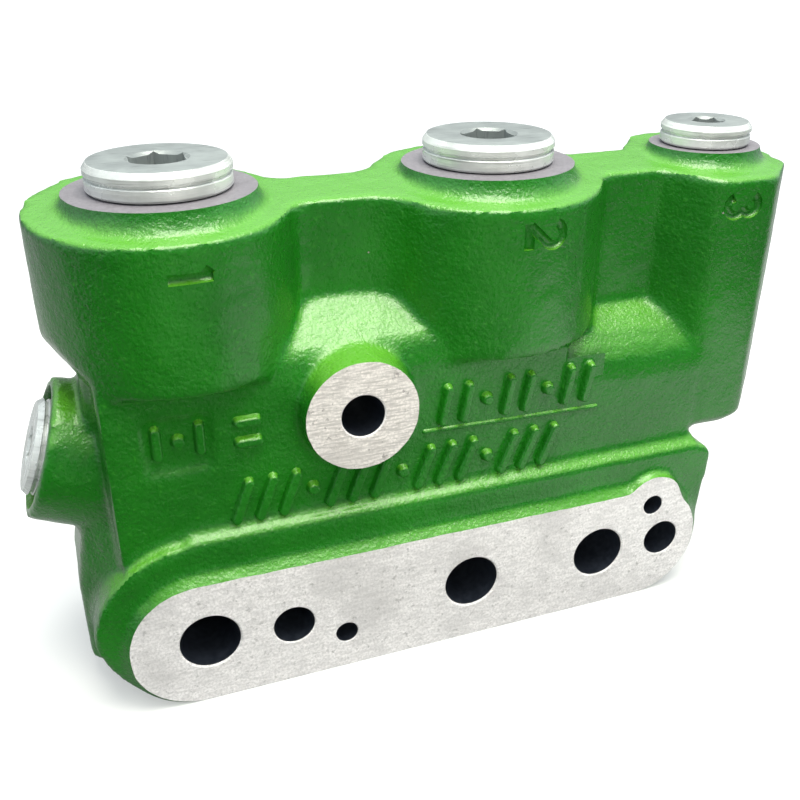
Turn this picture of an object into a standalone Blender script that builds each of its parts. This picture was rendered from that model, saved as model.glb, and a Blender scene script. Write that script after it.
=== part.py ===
# Power beyond valve section: a green painted casting with a machined mating face,
# three upright ports and one canted side port, all closed with collar plugs.
# Metres, +Z up. X runs along the row of ports, -Y is the mating face's side.
# The origin lies under the middle of the section, on its flat bottom.
import math

import bmesh
import bpy

# Driving sizes of the casting
gap = 0.0003
slab_half_depth = 0.022
flange_half_depth = 0.0255
face_depth = 0.028
nut_face_depth = 0.028
left_wall_x = -0.0805
right_wall_x = 0.1000
cast_top_z = 0.1184
cast_top_slope = 0.080
port_face_z = 0.1213
web_half_depth = 0.0092
boss_radius = 0.0293
boss_depth = 0.0277
boss_offset_x = -0.0006
boss_bottom_z = 0.0822
boss_lower_edge = 0.0070
land_height = 0.0020
side_face_x = -0.0925
side_face_z = 0.0625
side_tilt = math.radians(20.0)
side_boss_radius = 0.0168
side_boss_length = 0.030

# Saddles between the bosses: height at the web and at the outer wall
saddle_web_z = 0.0955
saddle_wall_z = 0.0855
shelf_web_z = 0.0838
shelf_wall_z = 0.0715

# The left end's wall below the return boss
end_wall_waist_x = -0.0828
end_wall_knee_x = -0.0880
end_wall_knee_z = 0.0440
end_wall_foot_x = -0.0905
end_wall_foot_z = 0.0300
end_wall_low_z = 0.0080
end_wall_half_depth = 0.0205
end_wall_edge = 0.0090

# Load sense column, seen from above
column_left_x = 0.0625
column_front_left_x = 0.0735
column_front_right_x = 0.0880
column_chamfer = 0.0110
column_bottom_z = 0.0467
column_corner_radius = 0.016
column_edge = 0.0090

# Lower flange and the mating pad on it
pad_radius = 0.01715
pad_slope = 0.0022
pad_left_x = -0.0647
pad_right_x = 0.0583
flange_border = 0.0071
flange_right_border = 0.0025
flange_top_z = 0.0440
flange_right_top_x = 0.0800
flange_corner_radius = 0.005
ledge_rise = 0.0020
ledge_depth = 0.0035
lobe_radius = 0.0094

# Holes in the mating face
tie_rod_hole_radius = 0.00525
tie_rod_boss_radius = 0.0136
tie_rod_boss_root = 0.0030
nut_boss_radius = 0.0125
gallery_radius = 0.0074
gallery_end_y = 0.009
pilot_radius = 0.0029
pilot_end_y = 0.003
return_gallery = (-0.0627, 0.0177)
pressure_gallery = (0.0062, 0.0175)
second_return_gallery = (0.0444, 0.0174)
drain_pilot = (-0.0284, 0.0106)
load_sense_pilot = (0.0605, 0.0293)
left_tie_rod = (-0.0419, 0.0168)
right_tie_rod = (0.0646, 0.0175)
upper_tie_rod = (-0.0229, 0.0720)

# Ports: axis position, then what a threaded port and its collar plug measure
return_port_x = -0.0595
pressure_port_x = 0.0189
load_sense_port_x = 0.0817
passage_radius = 0.0080
side_passage_radius = 0.0055
large_port = {
    "thread_radius": 0.0135,
    "thread_depth": 0.0220,
    "cone_radius": 0.0150,
    "cone_depth": 0.0031,
    "face_radius": 0.0208,
    "collar_radius": 0.0160,
    "collar_height": 0.0062,
    "shank_length": 0.0150,
    "hex_flats": 0.0120,
    "hex_depth": 0.0070,
    "ring_section": 0.0021,
}
small_port = {
    "thread_radius": 0.0090,
    "thread_depth": 0.0180,
    "cone_radius": 0.0103,
    "cone_depth": 0.0026,
    "face_radius": 0.0138,
    "collar_radius": 0.0115,
    "collar_height": 0.0056,
    "shank_length": 0.0120,
    "hex_flats": 0.0080,
    "hex_depth": 0.0055,
    "ring_section": 0.0018,
}
side_port = dict(small_port, collar_height=0.0036)
collar_disc_share = 0.42
collar_groove_width = 0.0008
collar_groove_depth = 0.0006
collar_chamfer = 0.0005
lead_chamfer = 0.0012

# Ball check in the load sense port, from the bottom of its bore upwards
check_bore_radius = 0.0060
check_bore_depth = 0.0340
cage_height = 0.0068
cage_floor = 0.0015
cage_inner_radius = 0.0034
cage_slot_width = 0.0016
ball_radius = 0.0025
seat_height = 0.0032
seat_hole_radius = 0.0015
seat_ring_section = 0.0010
snap_ring_thickness = 0.0009
snap_ring_width = 0.0014
snap_groove_depth = 0.0009
snap_ring_gap = 0.0030

# How smoothly the rough casting is rounded, and how fine its facets are
casting_voxel = 0.0017
rounding_passes = 5
casting_detail = 0.085
past = 0.004
round_steps = 36
small_steps = 24


def clear_scene():
    for thing in list(bpy.data.objects):
        bpy.data.objects.remove(thing)


def new_collection(name):
    collection = bpy.data.collections.new(name)
    bpy.context.scene.collection.children.link(collection)
    return collection


def new_material(name, colour, roughness, metallic):
    material = bpy.data.materials.new(name)
    material.use_nodes = True
    shader = material.node_tree.nodes["Principled BSDF"]
    shader.inputs["Base Color"].default_value = (*colour, 1.0)
    shader.inputs["Roughness"].default_value = roughness
    shader.inputs["Metallic"].default_value = metallic
    return material


def add_object(name, mesh, collection, location=(0, 0, 0), tilt=0.0):
    thing = bpy.data.objects.new(name, mesh)
    thing.location = location
    thing.rotation_euler = (0.0, tilt, 0.0)
    collection.objects.link(thing)
    return thing


def hide_helper(thing):
    thing.hide_render = True
    thing.display_type = "WIRE"
    return thing


def boolean(thing, operation, other):
    modifier = thing.modifiers.new(operation.title(), "BOOLEAN")
    modifier.operation = operation
    modifier.solver = "EXACT"
    if isinstance(other, bpy.types.Collection):
        modifier.operand_type = "COLLECTION"
        modifier.collection = other
    else:
        modifier.object = other


def arc(centre, radius, start, end, steps):
    points = []
    for step in range(steps + 1):
        angle = math.radians(start + (end - start) * step / steps)
        points.append((centre[0] + radius * math.cos(angle), centre[1] + radius * math.sin(angle)))
    return points


def outline_mesh(name, outline, half_thickness, bevel=0.0):
    # A flat outline as a curve with thickness, made a mesh so that it can be joined and cut
    curve = bpy.data.curves.new(name, "CURVE")
    curve.dimensions = "2D"
    curve.fill_mode = "BOTH"
    curve.extrude = half_thickness - bevel
    curve.bevel_depth = bevel
    curve.bevel_resolution = 0
    curve.offset = -bevel
    spline = curve.splines.new("POLY")
    spline.points.add(len(outline) - 1)
    for point, place in zip(spline.points, outline):
        point.co = (place[0], place[1], 0.0, 1.0)
    spline.use_cyclic_u = True
    holder = bpy.data.objects.new(name, curve)
    bpy.context.scene.collection.objects.link(holder)
    bpy.context.view_layer.update()
    graph = bpy.context.evaluated_depsgraph_get()
    mesh = bpy.data.meshes.new_from_object(holder.evaluated_get(graph))
    bpy.data.objects.remove(holder)
    shape = bmesh.new()
    shape.from_mesh(mesh)
    bmesh.ops.remove_doubles(shape, verts=shape.verts, dist=0.00001)
    bmesh.ops.recalc_face_normals(shape, faces=shape.faces)
    shape.to_mesh(mesh)
    shape.free()
    return mesh


def front_outline(name, outline, near_y, far_y, collection, bevel=0.0):
    # An outline drawn in X and Z, standing between two depths in Y
    mesh = outline_mesh(name, outline, abs(far_y - near_y) / 2, bevel)
    thing = add_object(name, mesh, collection, (0, (near_y + far_y) / 2, 0))
    thing.rotation_euler = (math.radians(90), 0, 0)
    return hide_helper(thing)


def top_outline(name, outline, low_z, high_z, collection):
    # An outline drawn in X and Y, standing between two heights
    mesh = outline_mesh(name, outline, (high_z - low_z) / 2)
    return hide_helper(add_object(name, mesh, collection, (0, 0, (low_z + high_z) / 2)))


def side_outline(name, outline, low_x, high_x, collection):
    # An outline drawn in Y and Z, running along X
    mesh = outline_mesh(name, outline, (high_x - low_x) / 2)
    thing = add_object(name, mesh, collection, ((low_x + high_x) / 2, 0, 0))
    thing.rotation_euler = (math.radians(90), 0, math.radians(90))
    return hide_helper(thing)


def box(name, low, high, collection):
    shape = bmesh.new()
    bmesh.ops.create_cube(shape, size=1.0)
    size = [top - bottom for bottom, top in zip(low, high)]
    middle = [(top + bottom) / 2 for bottom, top in zip(low, high)]
    bmesh.ops.scale(shape, vec=size, verts=shape.verts)
    mesh = bpy.data.meshes.new(name)
    shape.to_mesh(mesh)
    shape.free()
    return hide_helper(add_object(name, mesh, collection, middle))


def rod(name, start, end, radius, collection, steps=small_steps, end_radius=None):
    # A round bar between two points in the XZ plane or along Y
    run = [b - a for a, b in zip(start, end)]
    length = math.sqrt(sum(part * part for part in run))
    shape = bmesh.new()
    tip = radius if end_radius is None else end_radius
    bmesh.ops.create_cone(shape, cap_ends=True, segments=steps, radius1=radius, radius2=tip, depth=length)
    mesh = bpy.data.meshes.new(name)
    shape.to_mesh(mesh)
    shape.free()
    mesh.shade_smooth()
    mesh.set_sharp_from_angle(angle=math.radians(35))
    thing = add_object(name, mesh, collection, [(a + b) / 2 for a, b in zip(start, end)])
    if abs(run[1]) > 0:
        thing.rotation_euler = (math.radians(-90) if run[1] > 0 else math.radians(90), 0, 0)
    else:
        thing.rotation_euler = (0, math.atan2(run[0], run[2]), 0)
    return hide_helper(thing)


def turned(name, profile, collection, location=(0, 0, 0), tilt=0.0, steps=round_steps):
    # A turned piece: the profile runs from the axis at the top, down the outer side
    mesh = bpy.data.meshes.new(name)
    edges = [(step, step + 1) for step in range(len(profile) - 1)]
    if profile[0][0] > 0:
        edges.append((len(profile) - 1, 0))
    mesh.from_pydata([(radius, 0, height) for radius, height in profile], edges, [])
    thing = add_object(name, mesh, collection, location, tilt)
    screw = thing.modifiers.new("Turn", "SCREW")
    screw.steps = steps
    screw.render_steps = steps
    screw.use_merge_vertices = True
    screw.merge_threshold = 0.00001
    screw.use_smooth_shade = True
    return thing


def cast_boss(name, x, port, rough, slope):
    # A slightly flattened round boss with its land on top
    profile = [
        (0.0, port_face_z + past),
        (boss_radius, port_face_z + past),
        (boss_radius, boss_bottom_z + boss_lower_edge),
        (boss_radius - boss_lower_edge, boss_bottom_z),
        (0.0, boss_bottom_z),
    ]
    boss = turned(name, profile, rough, (x + boss_offset_x, 0, 0))
    boss.scale = (1.0, boss_depth / boss_radius, 1.0)
    boolean(boss, "DIFFERENCE", slope)
    cast_land(name + "_land", x, port, rough)
    return hide_helper(boss)


def cast_land(name, x, port, rough):
    # The raised ring of rough casting that the port face is later cut from
    land = port["face_radius"]
    profile = [
        (0.0, port_face_z + land_height),
        (land, port_face_z + land_height),
        (land + 0.0008, port_face_z - 0.0016),
        (land + 0.0034, cast_top_z - 0.0020),
        (0.0, cast_top_z - 0.0020),
    ]
    return hide_helper(turned(name, profile, rough, (x, 0, 0)))


def top_slope(helpers):
    # What the mould takes away above the casting's top, which rises a little from front to back
    near = -face_depth - past
    rise = cast_top_slope
    high = port_face_z + past * 3
    outline = [(near, cast_top_z + near * rise), (-near, cast_top_z - near * rise), (-near, high), (near, high)]
    return side_outline("top_slope", outline, left_wall_x * 2, right_wall_x * 2, helpers)


def pad_outline(border):
    # The mating face's outline: a long round-ended pad, grown by a border
    radius = pad_radius + border
    left = arc((pad_left_x, pad_radius), radius, 90, 270, 20)
    right = arc((pad_right_x, pad_radius), radius, -90, 90, 20)
    return left + right


def flange_outline():
    radius = pad_radius + flange_border
    corner = (flange_right_top_x - flange_corner_radius, flange_top_z - flange_corner_radius)
    left = arc((pad_left_x, flange_top_z - radius), radius, 90, 180, 12)
    lower_left = arc((pad_left_x, pad_radius), pad_radius + flange_border * 0.75, 190, 240, 7)
    lower_right = arc((pad_right_x, pad_radius), pad_radius + flange_right_border, -45, 10, 8)
    upper_right = arc(corner, flange_corner_radius, 10, 90, 6)
    return left + lower_left + lower_right + upper_right


def end_wall_outline():
    # The casting's left end below the return boss, leaning outwards towards the flange
    return [
        (return_port_x, saddle_wall_z),
        (end_wall_waist_x, saddle_wall_z),
        (end_wall_waist_x - 0.0004, side_face_z),
        (end_wall_knee_x, end_wall_knee_z),
        (end_wall_foot_x, end_wall_foot_z),
        (end_wall_foot_x, end_wall_low_z),
        (return_port_x, end_wall_low_z),
    ]


def column_plan():
    front = -slab_half_depth
    half = [
        (column_left_x, -web_half_depth),
        (column_front_left_x, front),
        (column_front_right_x, front),
        (right_wall_x, front + column_chamfer),
    ]
    back = [(x, -y) for x, y in reversed(half)]
    return half + back


def column_front():
    inner = (right_wall_x - column_corner_radius, column_bottom_z + column_corner_radius)
    corner = arc(inner, column_corner_radius, -90, 0, 8)
    high = port_face_z + past * 2
    return [(column_left_x, column_bottom_z)] + corner + [(right_wall_x, high), (column_left_x, high)]


def flange_ledge():
    # The flange's top, which slopes up to meet the walls
    foot_y = -flange_half_depth + ledge_depth
    low = flange_top_z - flange_border
    half = [(-flange_half_depth, low), (-flange_half_depth, flange_top_z), (foot_y, flange_top_z + ledge_rise)]
    other = [(-y, z) for y, z in reversed(half)]
    return half + other


def saddle_section(web_z, wall_z):
    low = flange_top_z
    half = [(slab_half_depth, low), (slab_half_depth, wall_z), (web_half_depth, web_z)]
    other = [(-y, z) for y, z in reversed(half)]
    return half + other


def side_axis_point(distance):
    # A point on the canted port's axis, so far outside its machined face
    x = side_face_x - distance * math.cos(side_tilt)
    return (x, 0.0, side_face_z + distance * math.sin(side_tilt))


def rough_casting(rough, helpers):
    slope = top_slope(helpers)
    under_boss = pressure_port_x + boss_radius / 2
    side_outline("left_saddle", saddle_section(saddle_web_z, saddle_wall_z), left_wall_x, under_boss, rough)
    side_outline("right_saddle", saddle_section(shelf_web_z, shelf_wall_z), 0.0, column_front_left_x, rough)
    web = box(
        "web",
        (return_port_x, -web_half_depth, flange_top_z),
        (load_sense_port_x, web_half_depth, port_face_z),
        rough,
    )
    boolean(web, "DIFFERENCE", slope)
    cast_boss("return_boss", return_port_x, large_port, rough, slope)
    cast_boss("pressure_boss", pressure_port_x, large_port, rough, slope)
    depth = end_wall_half_depth
    front_outline("end_wall", end_wall_outline(), -depth, depth, rough, end_wall_edge)
    column = top_outline("column", column_plan(), flange_top_z, port_face_z + past, rough)
    elevation = front_outline("column_elevation", column_front(), -face_depth, face_depth, helpers, column_edge)
    boolean(column, "INTERSECT", elevation)
    boolean(column, "DIFFERENCE", slope)
    cast_land("column_land", load_sense_port_x, small_port, rough)
    front_outline("flange", flange_outline(), -flange_half_depth, flange_half_depth, rough)
    side_outline("flange_ledge", flange_ledge(), pad_left_x, flange_right_top_x - flange_corner_radius, rough)
    pad_front = -face_depth - 0.0015
    front_outline("mating_pad", pad_outline(pad_slope), pad_front, 0.0, rough, pad_slope + 0.0015)
    rod(
        "lobe",
        (load_sense_pilot[0], 0, load_sense_pilot[1]),
        (load_sense_pilot[0], pad_front, load_sense_pilot[1]),
        lobe_radius + pad_slope,
        rough,
        small_steps,
        lobe_radius - 0.0006,
    )
    rod(
        "upper_tie_rod_boss",
        (upper_tie_rod[0], 0, upper_tie_rod[1]),
        (upper_tie_rod[0], pad_front, upper_tie_rod[1]),
        tie_rod_boss_radius + tie_rod_boss_root,
        rough,
        round_steps,
        tie_rod_boss_radius - 0.0001,
    )
    for label, place in (("left", left_tie_rod), ("right", right_tie_rod), ("upper", upper_tie_rod)):
        start = (place[0], 0, place[1])
        end = (place[0], nut_face_depth + 0.0015, place[1])
        rod(label + "_nut_boss", start, end, nut_boss_radius + 0.0015, rough, round_steps, nut_boss_radius)
    rod(
        "side_boss",
        side_axis_point(0.0018),
        side_axis_point(-side_boss_length),
        side_boss_radius,
        rough,
        round_steps,
        side_boss_radius + 0.0015,
    )


def port_cutter(name, port, passage, depth, location, tilt, cutters):
    # The port as it is machined: O-ring cone, thread, drill point and the passage below
    drill = port["thread_depth"] + 0.004
    profile = [
        (0.0, past),
        (port["face_radius"] + past, past),
        (port["face_radius"] + past, 0.0),
        (port["cone_radius"], 0.0),
        (port["thread_radius"], -port["cone_depth"]),
        (port["thread_radius"], -port["thread_depth"]),
        (passage, -drill),
        (passage, -depth),
        (0.0, -depth - passage * 0.6),
    ]
    return hide_helper(turned(name, profile, cutters, location, tilt))


def machining(cutters):
    far = 0.060
    top = port_face_z + far
    box("mating_face_mill", (-far * 2, -far, -far), (far * 2, -face_depth, top), cutters)
    box("bottom_mill", (-far * 2, -far, -far), (far * 2, far, 0.0), cutters)
    box("nut_face_mill", (-far * 2, nut_face_depth, -far), (far * 2, far, top), cutters)
    for label, place in (("left", left_tie_rod), ("right", right_tie_rod), ("upper", upper_tie_rod)):
        start = (place[0], -far, place[1])
        rod(label + "_tie_rod_drill", start, (place[0], far, place[1]), tie_rod_hole_radius, cutters)
    galleries = (return_gallery, pressure_gallery, second_return_gallery)
    for number, place in enumerate(galleries):
        start = (place[0], -far, place[1])
        rod("gallery_drill_%d" % number, start, (place[0], gallery_end_y, place[1]), gallery_radius, cutters, 40)
    for number, place in enumerate((drain_pilot, load_sense_pilot)):
        start = (place[0], -far, place[1])
        rod("pilot_drill_%d" % number, start, (place[0], pilot_end_y, place[1]), pilot_radius, cutters, 24)
    for label, x, gallery in (
        ("return", return_port_x, return_gallery),
        ("pressure", pressure_port_x, pressure_gallery),
    ):
        depth = port_face_z - gallery[1]
        port_cutter(label + "_port", large_port, passage_radius, depth, (x, 0, port_face_z), 0.0, cutters)
    place = (load_sense_port_x, 0, port_face_z)
    port_cutter("load_sense_port", small_port, check_bore_radius, check_bore_depth - past, place, 0.0, cutters)
    reach = (return_port_x - side_face_x) / math.cos(side_tilt)
    tilt = side_tilt - math.radians(90)
    port_cutter("side_port", small_port, side_passage_radius, reach, side_axis_point(0), tilt, cutters)


def load_sense_drillings(cutters):
    floor_z = port_face_z - check_bore_depth
    rod(
        "check_bore",
        (load_sense_port_x, 0, floor_z + past * 3),
        (load_sense_port_x, 0, floor_z),
        check_bore_radius,
        cutters,
    )
    rod(
        "load_sense_drill",
        (load_sense_port_x, 0, floor_z + 0.001),
        (load_sense_pilot[0], 0, load_sense_pilot[1]),
        pilot_radius - 0.0004,
        cutters,
        24,
    )
    groove_z = snap_ring_z()
    rod(
        "snap_groove",
        (load_sense_port_x, 0, groove_z - gap),
        (load_sense_port_x, 0, groove_z + snap_ring_thickness + gap),
        check_bore_radius + snap_groove_depth,
        cutters,
    )


def valve_body(parts, rough, helpers, cutters, paint):
    # The rough casting is joined, rounded as sand casting leaves it, then machined
    rough_casting(rough, helpers)
    machining(cutters)
    load_sense_drillings(cutters)
    low = (left_wall_x, -slab_half_depth, flange_top_z - flange_border)
    high = (column_front_left_x, slab_half_depth, shelf_wall_z)
    body = box("valve_body", low, high, parts)
    body.hide_render = False
    body.display_type = "TEXTURED"
    body.data.materials.append(paint)
    boolean(body, "UNION", rough)
    remesh = body.modifiers.new("Casting", "REMESH")
    remesh.mode = "VOXEL"
    remesh.voxel_size = casting_voxel
    smooth = body.modifiers.new("Rounding", "SMOOTH")
    smooth.iterations = rounding_passes
    smooth.factor = 0.5
    decimate = body.modifiers.new("Facets", "DECIMATE")
    decimate.ratio = casting_detail
    boolean(body, "DIFFERENCE", cutters)
    return body


def place_at_port(x, tilted):
    if tilted:
        return side_axis_point(0), side_tilt - math.radians(90)
    return (x, 0, port_face_z), 0.0


def collar_plug(name, port, x, tilted, parts, helpers, steel):
    # A collar plug: chamfered disc, groove and lower ring, O-ring neck and threaded shank
    place, tilt = place_at_port(x, tilted)
    collar = port["collar_radius"]
    height = port["collar_height"] + gap
    disc_low = height - port["collar_height"] * collar_disc_share
    ring_top = disc_low - collar_groove_width
    shank = port["thread_radius"] - gap
    neck = neck_radius(port)
    profile = [
        (0.0, height),
        (collar - collar_chamfer, height),
        (collar, height - collar_chamfer),
        (collar, disc_low),
        (collar - collar_groove_depth, disc_low),
        (collar - collar_groove_depth, ring_top),
        (collar - collar_chamfer / 3, ring_top),
        (collar - collar_chamfer / 3, gap),
        (neck, gap),
        (neck, -port["cone_depth"]),
        (shank, -port["cone_depth"] - (shank - neck)),
        (shank, -port["shank_length"] + lead_chamfer),
        (shank - lead_chamfer, -port["shank_length"]),
        (0.0, -port["shank_length"]),
    ]
    plug = turned(name, profile, parts, place, tilt)
    plug.data.materials.append(steel)
    shape = bmesh.new()
    radius = port["hex_flats"] / 2 / math.cos(math.radians(30))
    depth = port["hex_depth"] + past
    bmesh.ops.create_cone(shape, cap_ends=True, segments=6, radius1=radius, radius2=radius, depth=depth)
    mesh = bpy.data.meshes.new(name + "_key")
    shape.to_mesh(mesh)
    shape.free()
    key = hide_helper(add_object(name + "_key", mesh, helpers))
    key.parent = plug
    key.location = (0, 0, height - port["hex_depth"] + depth / 2)
    boolean(plug, "DIFFERENCE", key)
    return plug


def neck_radius(port):
    return port["thread_radius"] - port["ring_section"] * 0.9


def o_ring(name, port, x, tilted, parts, rubber):
    # The sealing ring lies in the cone under the collar, round the plug's neck
    place, tilt = place_at_port(x, tilted)
    section = port["ring_section"] / 2
    middle = neck_radius(port) + gap + section
    depth = gap + section
    profile = []
    for step in range(8):
        angle = math.radians(90 - step * 45)
        profile.append((middle + section * math.cos(angle), section * math.sin(angle) - depth))
    ring = turned(name, profile, parts, place, tilt, small_steps)
    ring.data.materials.append(rubber)
    return ring


def check_floor_z():
    return port_face_z - check_bore_depth + gap


def seat_bottom_z():
    return check_floor_z() + cage_height + gap


def snap_ring_z():
    return seat_bottom_z() + seat_height + gap


def check_cage(parts, helpers, steel):
    floor = check_floor_z()
    outer = check_bore_radius - gap
    profile = [
        (cage_inner_radius, floor + cage_height),
        (outer, floor + cage_height),
        (outer, floor),
        (ball_radius * 0.45, floor),
        (ball_radius * 0.45, floor + cage_floor),
        (cage_inner_radius, floor + cage_floor),
    ]
    cage = turned("load_sense_check_cage", profile, parts, (load_sense_port_x, 0, 0), steps=small_steps)
    cage.data.materials.append(steel)
    for number in range(2):
        slot = box(
            "cage_slot_%d" % number,
            (-cage_inner_radius, -cage_slot_width / 2, floor - past),
            (cage_inner_radius, cage_slot_width / 2, floor + cage_floor + gap),
            helpers,
        )
        slot.location = (load_sense_port_x, 0, slot.location[2])
        slot.rotation_euler = (0, 0, math.radians(45 + 90 * number))
        boolean(cage, "DIFFERENCE", slot)
    return cage


def check_ball(parts, steel):
    shape = bmesh.new()
    bmesh.ops.create_uvsphere(shape, u_segments=16, v_segments=10, radius=ball_radius)
    mesh = bpy.data.meshes.new("load_sense_check_ball")
    shape.to_mesh(mesh)
    shape.free()
    mesh.shade_smooth()
    rest_z = check_floor_z() + cage_floor + gap / 3 + ball_radius
    ball = add_object("load_sense_check_ball", mesh, parts, (load_sense_port_x, 0, rest_z))
    ball.data.materials.append(steel)
    return ball


def check_seat(parts, steel):
    bottom = seat_bottom_z()
    outer = check_bore_radius - gap
    groove = outer - seat_ring_section
    low = bottom + seat_height * 0.3
    high = low + seat_ring_section + gap * 2
    profile = [
        (seat_hole_radius, bottom + seat_height),
        (outer, bottom + seat_height),
        (outer, high),
        (groove, high),
        (groove, low),
        (outer, low),
        (outer, bottom),
        (seat_hole_radius * 1.5, bottom),
        (seat_hole_radius, bottom + seat_hole_radius * 0.4),
    ]
    seat = turned("load_sense_check_seat", profile, parts, (load_sense_port_x, 0, 0), steps=small_steps)
    seat.data.materials.append(steel)
    section = seat_ring_section / 2 - gap / 4
    middle_z = (low + high) / 2
    middle = groove + gap / 2 + section
    ring_profile = []
    for step in range(6):
        angle = math.radians(90 - step * 60)
        ring_profile.append((middle + section * math.cos(angle), middle_z + section * math.sin(angle)))
    return turned("load_sense_check_o_ring", ring_profile, parts, (load_sense_port_x, 0, 0), steps=small_steps)


def snap_ring(parts, helpers, steel):
    low = snap_ring_z()
    outer = check_bore_radius + snap_groove_depth - gap
    high = low + snap_ring_thickness
    inner = outer - snap_ring_width
    profile = [(inner, high), (outer, high), (outer, low), (inner, low)]
    name = "load_sense_check_snap_ring"
    ring = turned(name, profile, parts, (load_sense_port_x, 0, 0), steps=small_steps)
    ring.data.materials.append(steel)
    opening = box(
        "snap_ring_opening",
        (load_sense_port_x - snap_ring_gap / 2, 0, low - gap),
        (load_sense_port_x + snap_ring_gap / 2, outer + gap, high + gap),
        helpers,
    )
    boolean(ring, "DIFFERENCE", opening)
    return ring


def build():
    clear_scene()
    parts = new_collection("power_beyond_valve_section")
    rough = new_collection("rough_casting")
    helpers = new_collection("helpers")
    cutters = new_collection("machining")
    paint = new_material("green_paint", (0.05, 0.33, 0.06), 0.35, 0.0)
    steel = new_material("zinc_plated_steel", (0.72, 0.74, 0.76), 0.28, 1.0)
    hard_steel = new_material("hardened_steel", (0.45, 0.46, 0.48), 0.2, 1.0)
    rubber = new_material("seal_rubber", (0.02, 0.02, 0.02), 0.6, 0.0)
    valve_body(parts, rough, helpers, cutters, paint)
    ports = (
        ("return_port", large_port, return_port_x, False),
        ("pressure_port", large_port, pressure_port_x, False),
        ("load_sense_port", small_port, load_sense_port_x, False),
        ("side_port", side_port, side_face_x, True),
    )
    for label, port, x, tilted in ports:
        collar_plug(label + "_plug", port, x, tilted, parts, helpers, steel)
        o_ring(label + "_o_ring", port, x, tilted, parts, rubber)
    check_cage(parts, helpers, hard_steel)
    check_ball(parts, hard_steel)
    seal = check_seat(parts, hard_steel)
    seal.data.materials.append(rubber)
    snap_ring(parts, helpers, hard_steel)


build()
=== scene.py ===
import math

import bmesh
import bpy
from mathutils import Matrix, Vector


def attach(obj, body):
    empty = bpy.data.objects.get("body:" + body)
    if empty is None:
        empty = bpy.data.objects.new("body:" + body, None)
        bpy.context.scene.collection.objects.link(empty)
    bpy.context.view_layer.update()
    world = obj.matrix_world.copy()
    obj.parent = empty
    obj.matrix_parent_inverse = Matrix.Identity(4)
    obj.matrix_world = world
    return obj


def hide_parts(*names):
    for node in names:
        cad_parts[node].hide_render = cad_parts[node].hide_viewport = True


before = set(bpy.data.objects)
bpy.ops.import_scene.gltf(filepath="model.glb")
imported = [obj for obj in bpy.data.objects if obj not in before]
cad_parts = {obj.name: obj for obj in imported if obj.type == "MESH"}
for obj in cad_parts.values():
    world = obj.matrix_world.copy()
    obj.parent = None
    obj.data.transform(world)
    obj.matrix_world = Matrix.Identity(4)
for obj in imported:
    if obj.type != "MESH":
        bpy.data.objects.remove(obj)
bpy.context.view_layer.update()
print("frame loaded")

# Where the casting's features are, in metres; over and above are how far the rough casting
# stands past the mating face and the port faces before it is machined
body = {
    "slabHalf": 0.022, "flangeHalf": 0.0255, "faceDepth": 0.028,
    "leftWall": -0.0805, "rightWall": 0.1000, "topZ": 0.1184, "topRise": 0.080, "portZ": 0.1213,
    "webHalf": 0.0092, "bossX": 0.0293, "bossY": 0.0277, "bossShift": -0.0006,
    "bossLow": {"return": 0.0822, "pressure": 0.0800},
    "padRadius": 0.01715, "padLeft": -0.0647, "padRight": 0.0583, "border": 0.0071,
    "flangeTop": 0.0440, "flangeRight": 0.0800, "flangeCorner": 0.005,
    "over": 0.0015, "above": 0.006, "chamberDepth": 0.034,
}
sidePort = {"place": Vector((-0.0925, 0.0, 0.0625)), "tilt": math.radians(20.0), "radius": 0.0168,
            "plugHeight": 0.0036}
sideAxis = Vector((-math.cos(sidePort["tilt"]), 0.0, math.sin(sidePort["tilt"])))
# Places (across, up) of the holes drilled from the front, and their sizes: end is how far behind
# the middle a blind hole stops, edge how far past its radius a face gets the bore's finish, and
# depth how far behind the middle
galleries = ((-0.0627, 0.0177), (0.0062, 0.0175), (0.0444, 0.0174))
pilots = ((-0.0284, 0.0106), (0.0605, 0.0293))
tieRods = ((-0.0419, 0.0168), (0.0646, 0.0175), (-0.0229, 0.0720))
gallerySize = {"radius": 0.0074, "end": 0.009, "chamfer": 0.0004, "edge": 0.0005, "depth": 0.018}
pilotSize = {"radius": 0.0029, "end": 0.003, "chamfer": 0.0002, "edge": 0.0003, "depth": 0.010}
tieRodSize = {"radius": 0.00525, "end": 0.0, "chamfer": 0.0003, "edge": 0.00045, "depth": 0.028}
slantRadius = 0.0025  # the drilling from the load sense chamber down to the upper pilot hole
largePort = {"thread": 0.0135, "threadDepth": 0.0220, "cone": 0.0150, "coneDepth": 0.0031, "face": 0.0208,
             "collar": 0.0160, "height": 0.0062, "shank": 0.0150, "flats": 0.0120, "socket": 0.0070,
             "neck": 0.01161, "pitch": 0.0020}
smallPort = {"thread": 0.0090, "threadDepth": 0.0180, "cone": 0.0103, "coneDepth": 0.0026, "face": 0.0138,
             "collar": 0.0115, "height": 0.0056, "shank": 0.0120, "flats": 0.0080, "socket": 0.0055,
             "neck": 0.00738, "pitch": 0.0015}
ports = {"return": -0.0595, "pressure": 0.0189, "load_sense": 0.0817}
gap = 0.0003  # below each collar and round each thread


# Shape helpers

def front(u, v, depth):
    return Vector((u, depth, v))


def plan(u, v, height):
    return Vector((u, v, height))


def across(u, v, x):
    return Vector((x, u, v))


def arc(centre, radius, start, end, steps):
    angles = [math.radians(start + (end - start) * k / steps) for k in range(steps + 1)]
    return [(centre[0] + radius * math.cos(a), centre[1] + radius * math.sin(a)) for a in angles]


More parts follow.
